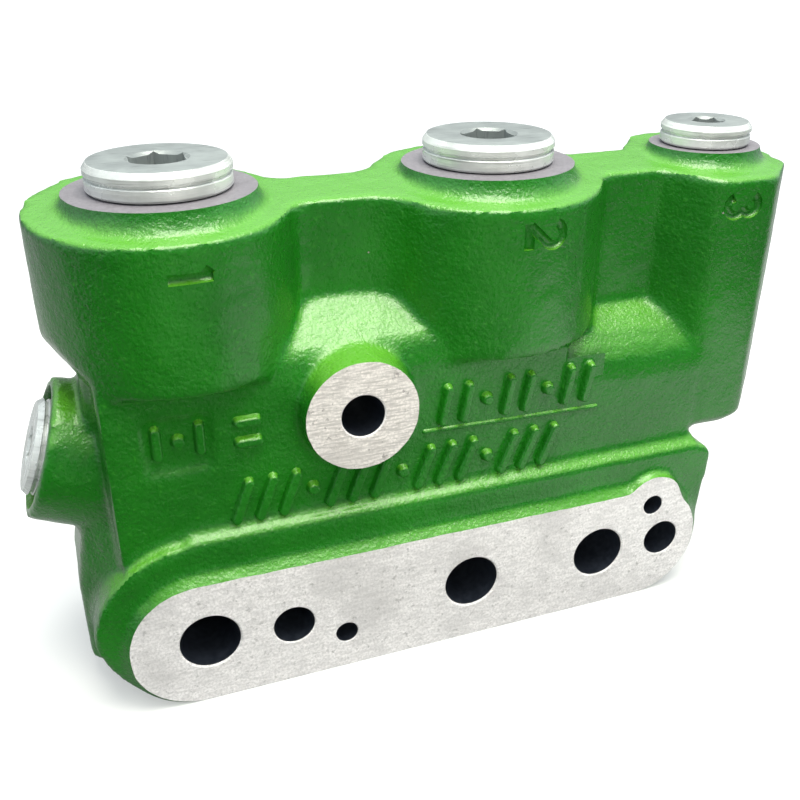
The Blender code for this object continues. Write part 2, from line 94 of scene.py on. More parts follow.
def prism(outline, low, high, lay):
    shape = bmesh.new()
    face = shape.faces.new([shape.verts.new(lay(u, v, low)) for u, v in outline])
    grown = bmesh.ops.extrude_face_region(shape, geom=[face])
    rise = lay(0, 0, high) - lay(0, 0, low)
    moved = [part for part in grown["geom"] if isinstance(part, bmesh.types.BMVert)]
    bmesh.ops.translate(shape, vec=rise, verts=moved)
    bmesh.ops.recalc_face_normals(shape, faces=shape.faces)
    return shape


def turn(profile, matrix=Matrix(), steps=64):
    # Spins a profile of (radius, height) round the upright axis, then sets it in place
    shape = bmesh.new()
    points = [shape.verts.new((radius, 0, height)) for radius, height in profile]
    edges = [shape.edges.new(pair) for pair in zip(points, points[1:])]
    if profile[0][0] > 0:
        edges.append(shape.edges.new((points[-1], points[0])))
    bmesh.ops.spin(shape, geom=points + edges, cent=(0, 0, 0), axis=(0, 0, 1), angle=2 * math.pi, steps=steps)
    bmesh.ops.remove_doubles(shape, verts=shape.verts, dist=0.000002)
    bmesh.ops.recalc_face_normals(shape, faces=shape.faces)
    bmesh.ops.transform(shape, matrix=matrix, verts=shape.verts)
    return shape


def sliceOff(shape, point, normal):
    # Cuts a closed shape with a plane, keeps the side behind it and closes the cut
    geometry = shape.verts[:] + shape.edges[:] + shape.faces[:]
    bmesh.ops.bisect_plane(shape, geom=geometry, plane_co=point, plane_no=normal, clear_outer=True)
    bmesh.ops.holes_fill(shape, edges=[e for e in shape.edges if e.is_boundary], sides=0)
    return shape


def keep(collector, shape):
    mesh = bpy.data.meshes.new("part")
    shape.to_mesh(mesh)
    shape.free()
    collector.from_mesh(mesh)
    bpy.data.meshes.remove(mesh)


def piece(name, shape, materials, rides, smooth=True, sharp=32):
    mesh = bpy.data.meshes.new(name)
    shape.to_mesh(mesh)
    shape.free()
    for material in materials:
        mesh.materials.append(material)
    if smooth:
        mesh.shade_smooth()
        mesh.set_sharp_from_angle(angle=math.radians(sharp))
    thing = bpy.data.objects.new(name, mesh)
    bpy.context.scene.collection.objects.link(thing)
    if rides:
        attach(thing, rides)
    return thing


def finished(thing):
    # Applies an object's modifiers to its own mesh
    bpy.context.view_layer.update()
    graph = bpy.context.evaluated_depsgraph_get()
    mesh = bpy.data.meshes.new_from_object(thing.evaluated_get(graph))
    thing.modifiers.clear()
    thing.data = mesh
    return thing


def cut(thing, shapes):
    # Takes closed shapes out of an object
    bin = bpy.data.collections.new("cutters")
    bpy.context.scene.collection.children.link(bin)
    helpers = []
    for shape in shapes:
        mesh = bpy.data.meshes.new("cutter")
        shape.to_mesh(mesh)
        shape.free()
        helpers.append(bpy.data.objects.new("cutter", mesh))
        bin.objects.link(helpers[-1])
    modifier = thing.modifiers.new("Cut", "BOOLEAN")
    modifier.operation = "DIFFERENCE"
    modifier.solver = "MANIFOLD"
    modifier.operand_type = "COLLECTION"
    modifier.collection = bin
    finished(thing)
    for helper in helpers:
        bpy.data.objects.remove(helper)
    bpy.data.collections.remove(bin)
    return thing


def upright(x, z=0.0):
    return Matrix.Translation((x, 0, z))


def facing(x, z):
    # Lays a turned shape's axis along Y, its top towards the mating face
    return Matrix.Translation((x, 0, z)) @ Matrix.Rotation(math.radians(90), 4, "X")


def canted():
    # Leans a turned shape's axis with the side port
    lean = Matrix.Rotation(sidePort["tilt"] - math.radians(90), 4, "Y")
    return Matrix.Translation(sidePort["place"]) @ lean


# Shader helpers

def shaded(colour, share):
    return tuple(min(1.0, part * share) for part in colour)


def newMaterial(name):
    material = bpy.data.materials.new(name)
    material.use_nodes = True
    tree = material.node_tree
    shader = tree.nodes["Principled BSDF"]
    place = tree.nodes.new("ShaderNodeTexCoord").outputs["Object"]
    return material, tree, shader, place


def noiseOf(tree, place, scale, detail=3.0, roughness=0.5):
    node = tree.nodes.new("ShaderNodeTexNoise")
    node.inputs["Scale"].default_value = scale
    node.inputs["Detail"].default_value = detail
    node.inputs["Roughness"].default_value = roughness
    tree.links.new(place, node.inputs["Vector"])
    return node.outputs["Fac"]


def spread(tree, value, low, high, toLow=0.0, toHigh=1.0, smooth=False):
    node = tree.nodes.new("ShaderNodeMapRange")
    if smooth:
        node.interpolation_type = "SMOOTHSTEP"
    for key, number in (("From Min", low), ("From Max", high), ("To Min", toLow), ("To Max", toHigh)):
        node.inputs[key].default_value = number
    tree.links.new(value, node.inputs["Value"])
    return node.outputs["Result"]


def calc(tree, kind, a, b=None):
    node = tree.nodes.new("ShaderNodeMath")
    node.operation = kind
    for socket, value in zip(node.inputs, (a, b)):
        if isinstance(value, (int, float)):
            socket.default_value = value
        elif value is not None:
            tree.links.new(value, socket)
    return node.outputs[0]


def blendColour(tree, amount, a, b):
    node = tree.nodes.new("ShaderNodeMix")
    node.data_type = "RGBA"
    for socket, value in ((node.inputs["Factor"], amount), (node.inputs[6], a), (node.inputs[7], b)):
        if isinstance(value, (int, float)):
            socket.default_value = value
        elif isinstance(value, tuple):
            socket.default_value = (*value, 1.0)
        else:
            tree.links.new(value, socket)
    return node.outputs[2]


def bumpOf(tree, shader, height, distance, strength=1.0, under=None):
    node = tree.nodes.new("ShaderNodeBump")
    node.inputs["Strength"].default_value = strength
    node.inputs["Distance"].default_value = distance
    tree.links.new(height, node.inputs["Height"])
    if under is not None:
        tree.links.new(under, node.inputs["Normal"])
    tree.links.new(node.outputs["Normal"], shader.inputs["Normal"])
    return node.outputs["Normal"]


def nearTo(tree, place, point, radius, raggedness, size):
    # 1 close to a point, 0 away from it, with a ragged edge
    node = tree.nodes.new("ShaderNodeVectorMath")
    node.operation = "DISTANCE"
    tree.links.new(place, node.inputs[0])
    node.inputs[1].default_value = point
    ragged = calc(tree, "MULTIPLY", noiseOf(tree, place, size), raggedness)
    return spread(tree, calc(tree, "ADD", node.outputs["Value"], ragged), radius, radius * 1.25, 1.0, 0.0)


# Materials

def greenPaint():
    material, tree, shader, place = newMaterial("green_paint")
    cloud = spread(tree, noiseOf(tree, place, 45.0, 4.0), 0.3, 0.7)
    grain = noiseOf(tree, place, 900.0, 2.0)
    colour = blendColour(tree, cloud, (0.005, 0.112, 0.0045), (0.009, 0.160, 0.0060))
    # Faces that turn upwards are mixed towards a lighter, yellower green: painted light from the lamp above
    upward = tree.nodes.new("ShaderNodeSeparateXYZ")
    tree.links.new(tree.nodes.new("ShaderNodeNewGeometry").outputs["Normal"], upward.inputs[0])
    paintedTopLight = spread(tree, upward.outputs["Z"], 0.35, 0.95, 0.0, 1.0, True)
    colour = blendColour(tree, paintedTopLight, colour, (0.095, 0.360, 0.020))
    colour = blendColour(tree, spread(tree, grain, 0.62, 0.74, 0.0, 0.25), colour, (0.05, 0.34, 0.02))
    chips = [
        ((0.0731, -0.0220, 0.1166), 0.0011), ((0.0740, -0.0215, 0.1085), 0.0006),
        ((-0.0220, -0.0092, 0.1178), 0.0007), ((0.0640, -0.0080, 0.1170), 0.0006),
        ((-0.0985, -0.0060, 0.0540), 0.0012), ((0.0690, 0.0070, 0.1200), 0.0005),
        ((-0.0300, -0.0092, 0.1035), 0.0004), ((-0.0150, -0.0092, 0.1045), 0.0004),
    ]
    bare = None
    for point, size in chips:
        spot = nearTo(tree, place, point, size, size * 1.1, 700.0)
        bare = spot if bare is None else calc(tree, "MAXIMUM", bare, spot)
    colour = blendColour(tree, bare, colour, (0.42, 0.33, 0.36))
    tree.links.new(colour, shader.inputs["Base Color"])
    tree.links.new(spread(tree, grain, 0.3, 0.7, 0.24, 0.38), shader.inputs["Roughness"])
    shader.inputs["IOR"].default_value = 1.52
    shader.inputs["Coat Weight"].default_value = 0.4
    shader.inputs["Coat Roughness"].default_value = 0.12
    under = bumpOf(tree, shader, noiseOf(tree, place, 260.0, 2.0), 0.0006, 0.55)
    under = bumpOf(tree, shader, noiseOf(tree, place, 1150.0, 2.0), 0.0004, 0.8, under)
    bumpOf(tree, shader, calc(tree, "MULTIPLY", bare, -1.0), 0.00015, 1.0, under)
    return material


def milledIron(name, tint, lineScale, speckle, slant=12.0, stained=0.30):
    # Bare cast iron, face milled: fine speckle with faint cutter lines
    material, tree, shader, place = newMaterial(name)
    stretch = tree.nodes.new("ShaderNodeMapping")
    stretch.inputs["Scale"].default_value = lineScale
    stretch.inputs["Rotation"].default_value = (0.0, math.radians(slant), 0.0)
    tree.links.new(place, stretch.inputs["Vector"])
    lines = noiseOf(tree, stretch.outputs["Vector"], 1.0, 3.0)
    grain = noiseOf(tree, place, 1500.0, 2.0, 0.6)
    stain = noiseOf(tree, place, 60.0, 4.0)
    colour = blendColour(tree, spread(tree, grain, 0.36, 0.62), shaded(tint, 0.72), tint)
    cuts = spread(tree, lines, 0.42, 0.62, 0.0, speckle)
    colour = blendColour(tree, cuts, colour, shaded(tint, 0.58))
    patches = spread(tree, stain, 0.50, 0.68, 0.0, stained)
    colour = blendColour(tree, patches, colour, shaded(tint, 0.55))
    pits = spread(tree, noiseOf(tree, place, 620.0, 3.0, 0.7), 0.60, 0.72)
    colour = blendColour(tree, calc(tree, "MULTIPLY", pits, stained * 1.4), colour, shaded(tint, 0.35))
    tree.links.new(colour, shader.inputs["Base Color"])
    shader.inputs["Metallic"].default_value = 0.15
    tree.links.new(spread(tree, grain, 0.3, 0.7, 0.38, 0.55), shader.inputs["Roughness"])
    under = bumpOf(tree, shader, lines, 0.00012, 0.5)
    bumpOf(tree, shader, grain, 0.00010, 0.6, under)
    return material


def boreIronAndShade():
    material, tree, shader, place = newMaterial("bored_iron_and_painted_shade")
    rings = noiseOf(tree, place, 700.0, 2.0)
    # Bare bored iron, its colour taken near black: partly the iron, partly painted shade of the holes' depth
    colour = blendColour(tree, spread(tree, rings, 0.35, 0.65), (0.016, 0.020, 0.030), (0.030, 0.036, 0.050))
    tree.links.new(colour, shader.inputs["Base Color"])
    shader.inputs["Metallic"].default_value = 0.2
    shader.inputs["Roughness"].default_value = 0.30
    bumpOf(tree, shader, rings, 0.00004, 0.4)
    return material


def zincPlate(name, dark, light, metallic, roughness, streak):
    material, tree, shader, place = newMaterial(name)
    cloud = noiseOf(tree, place, 160.0, 4.0)
    fine = noiseOf(tree, place, 1300.0, 2.0)
    colour = blendColour(tree, spread(tree, cloud, 0.35, 0.68), dark, light)
    scratches = tree.nodes.new("ShaderNodeMapping")
    scratches.inputs["Scale"].default_value = streak
    scratches.inputs["Rotation"].default_value = (0.0, 0.0, 0.5)
    tree.links.new(place, scratches.inputs["Vector"])
    lines = noiseOf(tree, scratches.outputs["Vector"], 1.0, 3.0)
    bright = spread(tree, lines, 0.60, 0.74, 0.0, 0.5)
    colour = blendColour(tree, bright, colour, shaded(light, 1.35))
    deep = spread(tree, lines, 0.42, 0.28, 0.0, 0.7)
    colour = blendColour(tree, deep, colour, shaded(dark, 0.45))
    tree.links.new(colour, shader.inputs["Base Color"])
    shader.inputs["Metallic"].default_value = metallic
    tree.links.new(spread(tree, cloud, 0.3, 0.7, roughness, roughness + 0.12), shader.inputs["Roughness"])
    bumpOf(tree, shader, fine, 0.00005, 0.5)
    return material


def plainSteel(name, colour, roughness):
    material, tree, shader, place = newMaterial(name)
    fine = noiseOf(tree, place, 900.0, 3.0)
    tree.links.new(blendColour(tree, fine, shaded(colour, 0.8), colour), shader.inputs["Base Color"])
    shader.inputs["Metallic"].default_value = 1.0
    shader.inputs["Roughness"].default_value = roughness
    bumpOf(tree, shader, fine, 0.00003, 0.4)
    return material


def blackRubber():
    material, tree, shader, place = newMaterial("black_rubber")
    fine = noiseOf(tree, place, 800.0, 3.0)
    colour = blendColour(tree, fine, (0.012, 0.012, 0.013), (0.030, 0.030, 0.031))
    tree.links.new(colour, shader.inputs["Base Color"])
    shader.inputs["Roughness"].default_value = 0.55
    bumpOf(tree, shader, fine, 0.00004, 0.4)
    return material


paint = greenPaint()
padIron = milledIron("milled_pad", (0.92, 0.90, 0.90), (260.0, 40.0, 900.0), 0.45, 12.0, 0.50)
spotIron = milledIron("spot_faced_iron", (0.305, 0.286, 0.318), (500.0, 500.0, 500.0), 0.30)
faceIron = milledIron("milled_boss", (0.88, 0.84, 0.81), (260.0, 40.0, 2000.0), 1.0, -38.0, 0.75)
boreFinishAndShade = boreIronAndShade()
zinc = zincPlate("zinc_plate", (0.60, 0.63, 0.62), (0.80, 0.83, 0.82), 0.30, 0.20, (60.0, 60.0, 2400.0))
turnedZinc = zincPlate(
    "turned_zinc", (0.285, 0.312, 0.312), (0.345, 0.378, 0.375), 0.40, 0.42, (150.0, 1500.0, 150.0))
hardSteel = plainSteel("hardened_steel", (0.55, 0.56, 0.58), 0.22)
rubber = blackRubber()
castingFinishes = [paint, padIron, spotIron, boreFinishAndShade, faceIron]
print("materials made")


# The rough casting, as overlapping closed shapes

def topCut(shape):
    return sliceOff(shape, (0, 0, body["topZ"]), (0, -body["topRise"], 1))


def land(x, port):
    # The raised ring round a port, its face left for the cutter
    high, low = body["portZ"] + 0.0020, body["topZ"] - 0.0020
    radius = port["face"]
    profile = [
        (0, high), (radius, high), (radius + 0.0003, body["portZ"] - 0.0004),
        (radius + 0.0011, body["portZ"] - 0.0021), (radius + 0.0030, low), (0, low),
    ]
    return turn(profile, upright(x), 96)


def boss(name):
    # A slightly oval boss for a large port; the left one slopes away at its lower left
    high, wide, low = body["portZ"] + body["above"], body["bossX"], body["bossLow"][name]
    x = ports[name] + body["bossShift"]
    flatten = Matrix.Diagonal((1, body["bossY"] / body["bossX"], 1, 1))
    shape = turn([(0, high), (wide, high), (wide, low), (0, low)], upright(x) @ flatten, 96)
    if name == "return":
        for rise, slope in ((0.0078, (-0.150, -0.027, -0.146)), (0.0083, (-0.145, -0.047, -0.075))):
            sliceOff(shape, (x - wide, 0, low + rise), slope)
    return topCut(shape)


def fillet(x, side, radius):
    # Fills the corner where the web runs into a boss with a hollow curve, on both faces
    wide, half = 0.0284, body["webHalf"]
    reach = math.sqrt((wide + radius) ** 2 - (half + radius) ** 2)
    lean = math.degrees(math.atan2(half + radius, reach))
    curve = arc((reach, half + radius), radius, 180 + lean, 270, 10)
    outline = [(0.010, 0.0)] + [(0.010, wide * 0.6)] + curve + [(reach, 0.0)]
    shapes = []
    for up in (1, -1):
        points = [(x + body["bossShift"] + side * u, up * v) for u, v in outline]
        shapes.append(topCut(prism(points, body["bossLow"]["return"], body["portZ"] + body["above"], plan)))
    return shapes


def column():
    # The right end, rounded towards its foot by a fan of plane cuts, with the fan's edges cut back
    half = [
        (0.0625, -body["webHalf"]), (0.0708, -0.0190), (0.0724, -0.0206), (0.0745, -0.0216),
        (0.0770, -0.0220), (0.0866, -0.0220), (0.0888, -0.0217), (0.0906, -0.0205),
        (body["rightWall"], -0.0110),
    ]
    foot, bend, edge = 0.0467, 0.016, 0.019
    shape = prism(half + [(x, -y) for x, y in reversed(half)], foot, body["portZ"] + body["above"], plan)
    inner = Vector((body["rightWall"] - bend, 0, foot + bend))
    for degrees in (-90, -78, -66, -54, -42, -30, -18, -6):
        out = Vector((math.cos(math.radians(degrees)), 0, math.sin(math.radians(degrees))))
        if degrees > -90:
            sliceOff(shape, inner + out * bend, out)
        for side in (-1, 1):
            sliceOff(shape, inner + out * bend + Vector((0, side * edge, 0)), out + Vector((0, side, 0)))
    return topCut(shape)


def saddle(curve, left, right):
    # Half of the section, from the wall up to the web, mirrored to the back
    half = [(body["slabHalf"], body["flangeTop"] - 0.004)] + curve
    return prism(half + [(-y, z) for y, z in reversed(half)], left, right, across)


def sunkPlate(shape):
    # A shallow recess in the wall, in which the left cast marks stand
    recess = mill((-0.0722, -0.03, 0.0617), (-0.0562, -0.0208, 0.0764))
    thing = cut(piece("saddle", shape, [], None, False), [recess])
    shape = bmesh.new()
    shape.from_mesh(thing.data)
    bpy.data.objects.remove(thing)
    return shape


def flangeOutline():
    radius = body["padRadius"] + body["border"]
    top, corner = body["flangeTop"], body["flangeCorner"]
    left = arc((body["padLeft"], top - radius), radius, 90, 180, 18)
    lowerLeft = arc((body["padLeft"], radius), radius, 197, 266, 14)
    lowerRight = arc((body["padRight"], body["padRadius"]), body["padRadius"] + 0.0025, -45, 10, 12)
    upperRight = arc((body["flangeRight"] - corner, top - corner), corner, 10, 90, 8)
    return left + lowerLeft + lowerRight + upperRight


def flangeLedge():
    # The flange's top slopes up to meet the walls
    out, top = body["flangeHalf"], body["flangeTop"]
    half = [(-out, top - body["border"]), (-out, top), (-out + 0.0035, top + 0.0020)]
    outline = half + [(-y, z) for y, z in reversed(half)]
    return prism(outline, body["padLeft"], body["flangeRight"] - body["flangeCorner"], across)


def stacked(levels):
    # A closed shape through outlines of one length, each at its own depth
    shape = bmesh.new()
    rings = [[shape.verts.new(front(u, v, y)) for u, v in outline] for y, outline in levels]
    for low, high in zip(rings, rings[1:]):
        for k in range(len(low)):
            n = (k + 1) % len(low)
            shape.faces.new((low[k], low[n], high[n], high[k]))
    shape.faces.new(rings[0])
    shape.faces.new(reversed(rings[-1]))
    bmesh.ops.recalc_face_normals(shape, faces=shape.faces)
    return shape


def padShape():
    # The mating pad stands on the flange with a sloped edge all round
    slope, foot, out = 0.0037, 0.0022, body["faceDepth"] + body["over"]
    levels = []
    for grow, y in ((foot, 0.0), (foot, -out + slope), (foot - slope, -out)):
        radius = body["padRadius"] + grow
        outline = arc((body["padLeft"], body["padRadius"]), radius, 90, 270, 32)
        levels.append((y, outline + arc((body["padRight"], body["padRadius"]), radius, -90, 90, 32)))
    return stacked(levels)


def endWall():
    # The left end below the return boss, its upright edges cut back
    lower = [(-0.0828, 0.0855), (-0.0832, 0.0625), (-0.0880, 0.0440), (-0.0905, 0.0300), (-0.0905, 0.0080)]
    closing = [(ports["return"], 0.0080), (ports["return"], 0.0855)]
    full = lower + closing
    narrow = [(x + 0.009, z) for x, z in lower] + closing
    return stacked([(-0.0205, narrow), (-0.0115, full), (0.0115, full), (0.0205, narrow)])


def stub(x, z, yEnd, root, tip):
    # A round boss standing on the slab's front or back, tapering outwards
    reach = abs(yEnd)
    profile = [(0, reach), (tip, reach), (root, 0), (0, 0)]
    turnBack = Matrix.Rotation(math.radians(180), 4, "Z") if yEnd > 0 else Matrix()
    lay = Matrix.Rotation(math.radians(90), 4, "X")
    return turn(profile, Matrix.Translation((x, 0, z)) @ turnBack @ lay)


def roughCasting():
    whole = bmesh.new()
    out = body["faceDepth"] + body["over"]
    underBoss = ports["pressure"] + body["bossX"] / 2
    hump = [(0.0220, 0.0800), (0.0213, 0.0836), (0.0196, 0.0866), (0.0092, 0.0955)]
    shelf = [
        (0.0220, 0.0665), (0.0217, 0.0695), (0.0208, 0.0722), (0.0190, 0.0750),
        (0.0164, 0.0782), (0.0128, 0.0813), (0.0092, 0.0838),
    ]
    shapes = [sunkPlate(saddle(hump, body["leftWall"], underBoss)), saddle(shelf, 0.0, 0.0735)]
    webOutline = [(ports["return"], -body["webHalf"]), (ports["load_sense"], -body["webHalf"])]
    webOutline += [(x, -y) for x, y in reversed(webOutline)]
    shapes.append(topCut(prism(webOutline, body["flangeTop"], body["portZ"] + body["above"], plan)))
    for name in ("return", "pressure"):
        shapes += [boss(name), land(ports[name], largePort)]
    for name, side, radius in (("return", 1, 0.008), ("pressure", -1, 0.013), ("pressure", 1, 0.006)):
        shapes += fillet(ports[name], side, radius)
    shapes += [column(), land(ports["load_sense"], smallPort)]
    flange = prism(flangeOutline(), -body["flangeHalf"], body["flangeHalf"], front)
    shapes += [endWall(), flangeLedge(), flange, padShape()]
    lobe = pilots[1]
    shapes.append(stub(lobe[0], lobe[1], -out, 0.0116, 0.0088))
    upper = tieRods[2]
    shapes.append(stub(upper[0], upper[1], -out, 0.0166, 0.0135))
    shapes += [stub(x, z, out, 0.0140, 0.0125) for x, z in tieRods]
    high, low, radius = 0.0018, -0.0300, sidePort["radius"]
    profile = [(0, high), (radius, high), (radius + 0.0015, low), (0, low)]
    shapes.append(turn(profile, canted(), 96))
    for shape in shapes:
        keep(whole, shape)
    return whole


def mill(low, high):
    shape = bmesh.new()
    bmesh.ops.create_cube(shape, size=1.0)
    low, high = Vector(low), Vector(high)
    bmesh.ops.scale(shape, vec=high - low, verts=shape.verts)
    bmesh.ops.translate(shape, vec=(low + high) / 2, verts=shape.verts)
    return shape


def drill(x, z, hole, back=False):
    # A hole from the front, its mouth lightly chamfered; a blind one ends in a drill point
    near, clear = body["faceDepth"], 0.003
    radius, chamfer = hole["radius"], hole["chamfer"]
    wide = radius + chamfer + clear
    profile = [(0, near + clear), (wide, near + clear), (radius, near - chamfer)]
    if back:
        profile += [(radius, -near + chamfer), (wide, -near - clear), (0, -near - clear)]
    else:
        profile += [(radius, -hole["end"]), (0, -hole["end"] - radius * 0.55)]
    return turn(profile, facing(x, z), 72)


def portBore(port, passage, depth, matrix):
    # Spot face, cone seat, thread bore and the passage below it, as one closed shape
    face, deep = port["face"], port["threadDepth"] + 0.004
    profile = [
        (0, 0.012), (face + 0.004, 0.012), (face + 0.0005, 0.0006), (face + 0.0005, 0.0), (port["cone"], 0.0),
        (port["thread"], -port["coneDepth"]), (port["thread"], -port["threadDepth"]), (passage, -deep),
        (passage, -depth), (0, -depth - passage * 0.6),
    ]
    return turn(profile, matrix, 96)


def slantedDrilling():
    # Where the drilling from the load sense chamber ends, and its run back up to the chamber's floor
    end = Vector((pilots[1][0], 0, pilots[1][1]))
    start = Vector((ports["load_sense"], 0, body["portZ"] - body["chamberDepth"] + 0.001))
    return end, start - end


def machining():
    # Everything that is cut from the rough casting
    far, top = 0.060, body["portZ"] + 0.06
    shapes = [
        mill((-0.2, -far, -far), (0.2, -body["faceDepth"], top)),
        mill((-0.2, body["faceDepth"], -far), (0.2, far, top)),
        mill((-0.2, -far * 1.1, -far * 1.1), (0.2, far * 1.1, 0.0)),
    ]
    shapes += [drill(x, z, gallerySize) for x, z in galleries]
    shapes += [drill(x, z, pilotSize) for x, z in pilots]
    shapes += [drill(x, z, tieRodSize, True) for x, z in tieRods]
    for name, gallery in (("return", galleries[0]), ("pressure", galleries[1])):
        place = upright(ports[name], body["portZ"])
        shapes.append(portBore(largePort, 0.0080, body["portZ"] - gallery[1], place))
    place = upright(ports["load_sense"], body["portZ"])
    shapes.append(portBore(smallPort, 0.0060, 0.030, place))
    reach = (ports["return"] - sidePort["place"].x) / math.cos(sidePort["tilt"])
    shapes.append(portBore(smallPort, 0.0055, reach, canted()))
    floorZ, grooveZ = body["portZ"] - body["chamberDepth"], 0.0982
    for radius, low, high in ((0.0060, floorZ, floorZ + 0.008), (0.0069, grooveZ - 0.0003, grooveZ + 0.0012)):
        profile = [(0, high), (radius, high), (radius, low), (0, low)]
        shapes.append(turn(profile, upright(ports["load_sense"]), 48))
    end, run = slantedDrilling()
    lean = Matrix.Translation(end) @ run.to_track_quat("Z", "Y").to_matrix().to_4x4()
    shapes.append(turn([(0, run.length), (slantRadius, run.length), (slantRadius, 0), (0, 0)], lean, 32))
    return shapes


def groove(points, place, radius=0.0012, sides=14):
    # A round groove along a line of points, laid on a surface by place(u, v, out)
    shape = bmesh.new()
    rings = []
    for k, (u, v) in enumerate(points):
        before, after = points[max(0, k - 1)], points[min(len(points) - 1, k + 1)]
        run = Vector((after[0] - before[0], after[1] - before[1])).normalized()
        ring = []
        for j in range(sides):
            a = 2 * math.pi * j / sides
            side, out = radius * math.cos(a), radius * math.sin(a)
            ring.append(shape.verts.new(place(u - run.y * side, v + run.x * side, out)))
        rings.append(ring)
    for one, two in zip(rings, rings[1:]):
        for j in range(sides):
            n = (j + 1) % sides
            shape.faces.new((one[j], one[n], two[n], two[j]))
    shape.faces.new(rings[0])
    shape.faces.new(list(reversed(rings[-1])))
    bmesh.ops.recalc_face_normals(shape, faces=shape.faces)
    return shape


def numeral(digit, centre, bossX=None):
    # A plain number sunk into the casting, its top turned to the right; on a boss it follows the curve
    lines = {
        1: [[(-0.0016, 0.0024), (0.0, 0.0040)], [(0.0, 0.0044), (0.0, -0.0044)]],
        2: [
            arc((0, 0.0019), 0.0025, 165, -35, 14) + [(-0.0026, -0.0042)],
            [(-0.0030, -0.0042), (0.0030, -0.0042)],
        ],
        3: [arc((0, 0.0021), 0.0022, 160, -80, 14), arc((0, -0.0022), 0.0024, 80, -160, 14)],
    }

    def place(u, v, out):
        if bossX is None:
            return Vector((centre[0] + u, -body["slabHalf"] - out, centre[1] + v))
        angle = (centre[0] + u - bossX) / body["bossY"]
        radius = body["bossY"] + out
        x = bossX + radius * math.sin(angle) * body["bossX"] / body["bossY"]
        return Vector((x, -radius * math.cos(angle), centre[1] + v))

    return [groove([(v, -u) for u, v in line], place) for line in lines[digit]]


def sortFaces(mesh):
    # Gives each face its finish by where it lies: paint, milled faces, spot faces and bores
    near, edge = 0.00003, 0.0002
    faceY, portZ = body["faceDepth"], body["portZ"]
    holes = []
    for places, size in ((galleries, gallerySize), (pilots, pilotSize), (tieRods, tieRodSize)):
        holes += [(x, z, size["radius"] + size["edge"], size["depth"]) for x, z in places]
    sockets = (("return", largePort, 0.012), ("pressure", largePort, 0.012), ("load_sense", smallPort, 0.080))
    slantEnd, slantRun = slantedDrilling()
    slant = slantRun.normalized()
    slots = {finish.name: k for k, finish in enumerate(castingFinishes)}
    for polygon in mesh.polygons:
        c, n = polygon.center, polygon.normal
        finish = paint
        if abs(c.y + faceY) < near and n.y < -0.99 or abs(c.y - faceY) < near and n.y > 0.99:
            finish = faceIron if c.z > body["flangeTop"] else padIron
        elif abs(c.z - portZ) < near and n.z > 0.99:
            finish = spotIron
        elif abs((c - sidePort["place"]).dot(sideAxis)) < near and n.dot(sideAxis) > 0.99:
            finish = spotIron
        elif any((c.x - x) ** 2 + (c.z - z) ** 2 < r * r and c.y < end for x, z, r, end in holes):
            finish = padIron if abs(n.y) > 0.3 and abs(c.y) > 0.02 else boreFinishAndShade
        elif c.z < portZ + near:
            for name, port, low in sockets:
                if (c.x - ports[name]) ** 2 + c.y ** 2 < (port["cone"] + edge) ** 2 and c.z > low:
                    finish = boreFinishAndShade
            off = c - sidePort["place"]
            along = off.dot(sideAxis)
            if -0.040 < along < near and (off - sideAxis * along).length < smallPort["cone"] + edge:
                finish = boreFinishAndShade
            off = c - slantEnd
            along = off.dot(slant)
            if 0 < along < slantRun.length and (off - slant * along).length < slantRadius + edge:
                finish = boreFinishAndShade
        polygon.material_index = slots[finish.name]


def makeCasting():
    # Rounded and pebbled as a sand casting, then machined, with the ports' numbers sunk in
    thing = piece("casting", roughCasting(), castingFinishes, None)
    remesh = thing.modifiers.new("Sand", "REMESH")
    remesh.mode = "VOXEL"
    remesh.voxel_size = 0.0010
    smooth = thing.modifiers.new("Rounding", "SMOOTH")
    smooth.factor = 0.5
    smooth.iterations = 7
    for name, size, strength in (("swell", 0.016, 0.00035), ("pebble", 0.0035, 0.00022)):
        texture = bpy.data.textures.new(name, "CLOUDS")
        texture.noise_scale = size
        texture.noise_depth = 2
        wave = thing.modifiers.new(name, "DISPLACE")
        wave.texture = texture
        wave.texture_coords = "OBJECT"
        wave.strength = strength
    finished(thing)
    print("casting shaped", len(thing.data.polygons))
    numbers = numeral(1, (-0.0585, 0.1092), ports["return"] + body["bossShift"])
    numbers += numeral(2, (0.0213, 0.1099), ports["pressure"] + body["bossShift"])
    numbers += numeral(3, (0.0796, 0.1100))
    cut(thing, machining() + numbers)
    for k, material in enumerate(castingFinishes):
        thing.data.materials[k] = material
    sortFaces(thing.data)
    shape = bmesh.new()
    shape.from_mesh(thing.data)
    for face in shape.faces:
        face.smooth = True
    for edge in shape.edges:
        faces = edge.link_faces
        turnHere = len(faces) == 2 and faces[0].normal.angle(faces[1].normal, 0) > math.radians(38)
        edge.smooth = not (turnHere or len(faces) == 2 and faces[0].material_index != faces[1].material_index)
    shape.to_mesh(thing.data)
    shape.free()
    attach(thing, "valve_body")
    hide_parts("valve_body")
    print("casting cut", len(thing.data.polygons))


makeCasting()


# Raised cast marks: plain bars and dots in an even rhythm

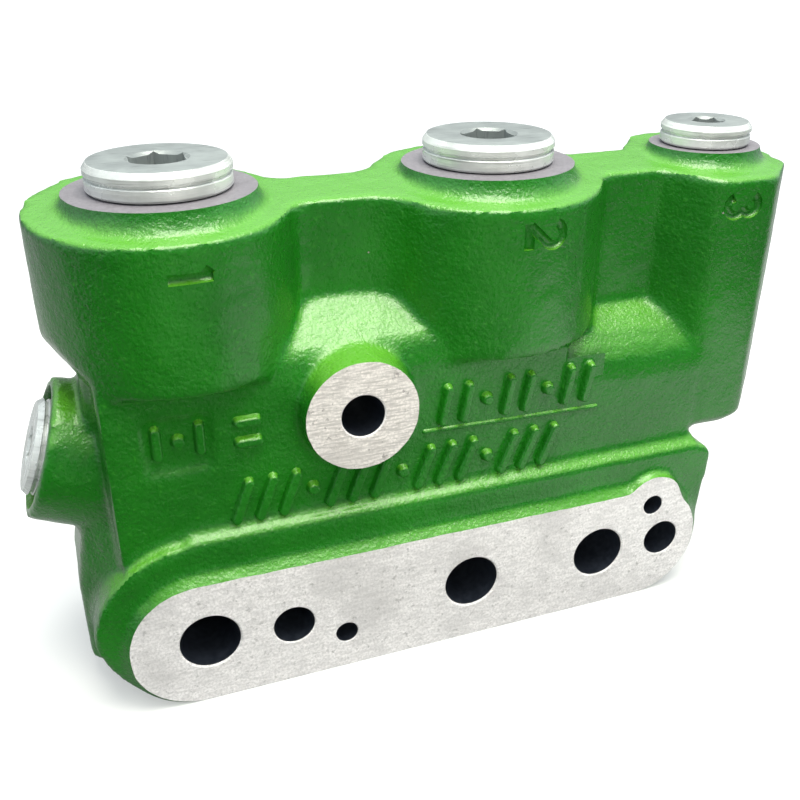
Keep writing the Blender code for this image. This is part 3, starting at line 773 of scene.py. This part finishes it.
def relief(name, low, high, marks, lift=0.0019, wall=0.0, cell=0.0003, flank=0.0007):
    # A fine sheet just under the wall that rises through it where a mark stands
    shape = bmesh.new()
    under = 0.00035
    wide, tall = high[0] - low[0], high[1] - low[1]
    bmesh.ops.create_grid(shape, x_segments=int(wide / cell), y_segments=int(tall / cell), size=0.5)
    for vert in shape.verts:
        x, z = low[0] + (vert.co.x + 0.5) * wide, low[1] + (vert.co.y + 0.5) * tall
        rise = 0.0
        for (u, v), (runX, runZ), half, tip in marks:
            offX, offZ = x - u, z - v
            along = max(0.0, min(1.0, (offX * runX + offZ * runZ) / max(runX * runX + runZ * runZ, 1e-12)))
            distance = math.hypot(offX - runX * along, offZ - runZ * along) - half
            part = min(1.0, max(0.0, distance / flank))
            rise = max(rise, tip * (1 - part) ** 2 * (1 + 2 * part))
        vert.co = Vector((x, -body["slabHalf"] + wall + under - rise * (lift + under), z))
    bmesh.ops.recalc_face_normals(shape, faces=shape.faces)
    thing = piece(name, shape, [paint], "valve_body", True, 180)


def bar(x0, z0, x1, z1, half=0.0008, tip=1.0):
    return (x0, z0), (x1 - x0, z1 - z0), half, tip


def dot(x, z, half=0.0012):
    return bar(x, z, x, z, half)


left = [bar(-0.0690, 0.0668, -0.0690, 0.0730), dot(-0.0642, 0.0699), bar(-0.0594, 0.0668, -0.0594, 0.0730)]
relief("left_marks", (-0.0715, 0.0625), (-0.0568, 0.0757), left, 0.0018, 0.0012)
pair = [bar(-0.0508, z, -0.0466, z) for z in (0.0676, 0.0728)]
relief("left_bars", (-0.0535, 0.0645), (-0.0440, 0.0760), pair)
middle = [bar(-0.0055, 0.0617, 0.0425, 0.0604, 0.0002, 0.45)]
for k in range(8):
    x = -0.0012 + 0.0056 * k
    middle.append(dot(x + 0.0008, 0.0683) if k % 3 == 2 else bar(x, 0.0641, x + 0.0016, 0.0725))
relief("middle_marks", (-0.0070, 0.0590), (0.0440, 0.0752), middle)
lower = []
for k in range(15):
    x = -0.0530 + 0.0057 * k
    lower.append(dot(x + 0.0018, 0.0521) if k % 4 == 3 else bar(x, 0.0475, x + 0.0036, 0.0567, 0.0009))
relief("lower_marks", (-0.0560, 0.0450), (0.0345, 0.0590), lower)
print("marks made")


# Collar plugs

def threadShape(radius, pitch, low, high, steps=72):
    # A true helical thread on a closed shank, its ends run out to the core
    shape = bmesh.new()
    depth = pitch * 0.6
    rows = max(8, int((high - low) / pitch * 10))
    rings = []
    for j in range(rows + 1):
        z = low + (high - low) * j / rows
        fade = min(1.0, (z - low) / pitch, (high - z) / (pitch * 0.5))
        ring = []
        for k in range(steps):
            a = 2 * math.pi * k / steps
            phase = (z / pitch - k / steps) % 1.0
            r = radius - depth * (1 - abs(2 * phase - 1)) * 0.85 - depth * 0.6 * (1 - fade)
            ring.append(shape.verts.new((r * math.cos(a), r * math.sin(a), z)))
        rings.append(ring)
    for under, over in zip(rings, rings[1:]):
        for k in range(steps):
            n = (k + 1) % steps
            shape.faces.new((under[k], under[n], over[n], over[k]))
    shape.faces.new(list(reversed(rings[0])))
    shape.faces.new(rings[-1])
    return shape


def collarPlug(name, port, matrix, rides, node, height, topFinish):
    # Collar with a groove round it and a chamfered lip, hexagon socket, neck and threaded shank
    collar, top = port["collar"], height + gap
    discLow = top - height * 0.42
    ringTop = discLow - 0.0008
    neck, cone = port["neck"], port["coneDepth"]
    lip = 0.0009
    profile = [
        (0, top - 0.00005), (collar - lip - 0.0001, top), (collar - lip, top - 0.00004),
        (collar - 0.0002, top - 0.0010), (collar, top - 0.0013), (collar, discLow + 0.0002),
        (collar - 0.0002, discLow), (collar - 0.0007, discLow - 0.0001), (collar - 0.0007, ringTop + 0.0001),
        (collar - 0.0003, ringTop), (collar - 0.0001, ringTop - 0.0002), (collar - 0.0001, gap + 0.0005),
        (collar - 0.0005, gap), (neck, gap), (neck, -cone - 0.0004), (0, -cone - 0.0004),
    ]
    thing = piece(name, turn(profile, steps=128), [zinc], None)
    corner = port["flats"] / 2 / math.cos(math.radians(30))
    hexagon = bmesh.new()
    depth = port["socket"] + 0.004
    bmesh.ops.create_cone(hexagon, cap_ends=True, segments=6, radius1=corner, radius2=corner, depth=depth)
    bmesh.ops.translate(hexagon, vec=(0, 0, top - port["socket"] + depth / 2), verts=hexagon.verts)
    dish = [
        (0, top + 0.001), (corner + 0.0011, top + 0.001), (corner - 0.0006, top - 0.0007), (0, top - 0.0009),
    ]
    cut(thing, [hexagon, turn(dish)])
    shape = bmesh.new()
    shape.from_mesh(thing.data)
    bpy.data.objects.remove(thing)
    keep(shape, threadShape(port["thread"] - gap, port["pitch"], -port["shank"], -cone - 0.0002))
    for face in shape.faces:
        c = face.calc_center_median()
        turned = c.z > top - 0.0015 and face.normal.z > 0.97
        inside = math.hypot(c.x, c.y) < corner + 0.0012 and c.z > top - port["socket"] - 0.001
        face.material_index = int(turned or inside)
    bmesh.ops.transform(shape, matrix=matrix, verts=shape.verts)
    plug = piece(name, shape, [zinc, topFinish], rides, True, 28)
    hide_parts(node)


for name, x in ports.items():
    port = smallPort if name == "load_sense" else largePort
    place = upright(x, body["portZ"])
    rides, node = name + "_plug", name + "_port_plug"
    collarPlug(name + "_collar_plug", port, place, rides, node, port["height"], turnedZinc)
sideHeight = sidePort["plugHeight"]
collarPlug("side_collar_plug", smallPort, canted(), "side_plug", "side_port_plug", sideHeight, zinc)

for name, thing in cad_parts.items():
    if "o_ring" in name:
        finish = rubber
    elif "check" in name:
        finish = hardSteel
    else:
        continue
    for slot in thing.material_slots:
        slot.material = finish
print("plugs made")


# Floor, light and camera

def makeStage():
    # The camera sees a white floor; what it throws back is dark ahead of the part, but for one patch
    shape = bmesh.new()
    bmesh.ops.create_grid(shape, x_segments=1, y_segments=1, size=6.0)
    bmesh.ops.translate(shape, vec=(0, 0, -0.0001), verts=shape.verts)
    material, tree, shader, place = newMaterial("studio_floor")
    path = tree.nodes.new("ShaderNodeLightPath")
    seen = path.outputs["Is Camera Ray"]
    parts = tree.nodes.new("ShaderNodeSeparateXYZ")
    tree.links.new(place, parts.inputs[0])
    ahead = spread(tree, parts.outputs["Y"], -0.08, 0.02, 1.0, 0.0, True)
    spot = tree.nodes.new("ShaderNodeVectorMath")
    spot.operation = "DISTANCE"
    spot.inputs[1].default_value = (0.15, -0.13, 0.0)
    tree.links.new(place, spot.inputs[0])
    near = spread(tree, spot.outputs["Value"], 0.06, 0.16, 1.0, 0.0, True)
    shade = blendColour(tree, ahead, (0.40, 0.40, 0.40), (0.03, 0.03, 0.03))
    shade = blendColour(tree, near, shade, (0.60, 0.60, 0.60))
    tree.links.new(blendColour(tree, seen, shade, (0.60, 0.60, 0.60)), shader.inputs["Base Color"])
    shader.inputs["Roughness"].default_value = 0.9
    shader.inputs["Specular IOR Level"].default_value = 0.0
    glow = tree.nodes.new("ShaderNodeEmission")
    glow.inputs["Color"].default_value = (1.0, 1.0, 1.0, 1.0)
    away = tree.nodes.new("ShaderNodeVectorMath")
    away.operation = "LENGTH"
    tree.links.new(place, away.inputs[0])
    far = spread(tree, away.outputs["Value"], 0.40, 1.2, 0.35, 0.95, True)
    tree.links.new(calc(tree, "MULTIPLY", seen, far), glow.inputs["Strength"])
    both = tree.nodes.new("ShaderNodeAddShader")
    tree.links.new(shader.outputs[0], both.inputs[0])
    tree.links.new(glow.outputs[0], both.inputs[1])
    tree.links.new(both.outputs[0], tree.nodes["Material Output"].inputs["Surface"])
    piece("floor", shape, [material], None, False)


def areaLight(name, place, target, size, power, colour=(1.0, 1.0, 1.0), mirrored=False):
    data = bpy.data.lights.new(name, "AREA")
    data.shape = "RECTANGLE"
    data.size, data.size_y = size
    data.energy = power
    data.color = colour
    lamp = bpy.data.objects.new(name, data)
    lamp.location = place
    lamp.rotation_euler = (Vector(target) - Vector(place)).to_track_quat("-Z", "Y").to_euler()
    lamp.visible_camera = False
    lamp.visible_glossy = mirrored
    bpy.context.scene.collection.objects.link(lamp)


def makeWorld():
    world = bpy.data.worlds.new("studio")
    world.use_nodes = True
    tree = world.node_tree
    sky = tree.nodes["Background"]
    place = tree.nodes.new("ShaderNodeTexCoord").outputs["Generated"]
    parts = tree.nodes.new("ShaderNodeSeparateXYZ")
    tree.links.new(place, parts.inputs[0])
    level = spread(tree, parts.outputs["Z"], 0.0, 0.7, 0.75, 1.15)
    # The sky is darker low down behind and ahead of the part, though the camera sees it plain
    for start, end, near, far, low, high, share in (
            (0.45, 0.75, 0.0, 1.0, 0.25, 0.55, 0.6), (-0.85, -0.30, 1.0, 0.0, 0.5, 0.8, 0.9)):
        along = spread(tree, parts.outputs["Y"], start, end, near, far, True)
        lower = spread(tree, parts.outputs["Z"], low, high, 1.0, 0.0, True)
        dark = calc(tree, "MULTIPLY", calc(tree, "MULTIPLY", along, lower), share)
        level = calc(tree, "MULTIPLY", level, calc(tree, "SUBTRACT", 1.0, dark))
    path = tree.nodes.new("ShaderNodeLightPath")
    seen = path.outputs["Is Camera Ray"]
    unseen = calc(tree, "SUBTRACT", 1.0, seen)
    strength = calc(tree, "ADD", seen, calc(tree, "MULTIPLY", unseen, level))
    tree.links.new(strength, sky.inputs["Strength"])
    tree.links.new(blendColour(tree, seen, (0.88, 0.96, 1.0), (1.0, 1.0, 1.0)), sky.inputs["Color"])
    bpy.context.scene.world = world


view = {"place": (-0.08089, -0.20961, 0.17178), "pitch": 26.644, "yaw": 20.193, "roll": 0.048,
        "lens": 42.28425, "sensor": 36.0}


def makeCamera():
    pitch, yaw, roll = (math.radians(view[key]) for key in ("pitch", "yaw", "roll"))
    ahead = Vector((math.sin(yaw) * math.cos(pitch), math.cos(yaw) * math.cos(pitch), -math.sin(pitch)))
    flat = Vector((math.cos(yaw), -math.sin(yaw), 0))
    rise = flat.cross(ahead)
    right = math.cos(roll) * flat + math.sin(roll) * rise
    up = math.cos(roll) * rise - math.sin(roll) * flat
    data = bpy.data.cameras.new("camera")
    data.sensor_width = view["sensor"]
    data.lens = view["lens"]
    data.clip_start, data.clip_end = 0.01, 20.0
    camera = bpy.data.objects.new("camera", data)
    turned = Matrix((right, up, -ahead)).transposed()
    camera.matrix_world = Matrix.Translation(view["place"]) @ turned.to_4x4()
    bpy.context.scene.collection.objects.link(camera)
    bpy.context.scene.camera = camera


makeStage()
makeWorld()
areaLight("key", (0.05, -0.14, 0.80), (0.0, 0.0, 0.06), (0.5, 0.5), 7.5, (1.0, 0.97, 0.86), True)
areaLight("near", (-0.015, -0.16, 0.115), (-0.005, 0.0, 0.095), (0.06, 0.06), 0.055, (1.0, 0.95, 0.72))
areaLight("low", (-0.05, -0.30, 0.02), (-0.03, 0.0, 0.01), (0.25, 0.05), 0.42, (1.0, 1.0, 0.97))
areaLight("fill", (0.25, -0.85, 0.45), (0.0, 0.0, 0.06), (0.6, 0.6), 0.85)
makeCamera()
bpy.context.scene.view_settings.view_transform = "Standard"
print("stage made")
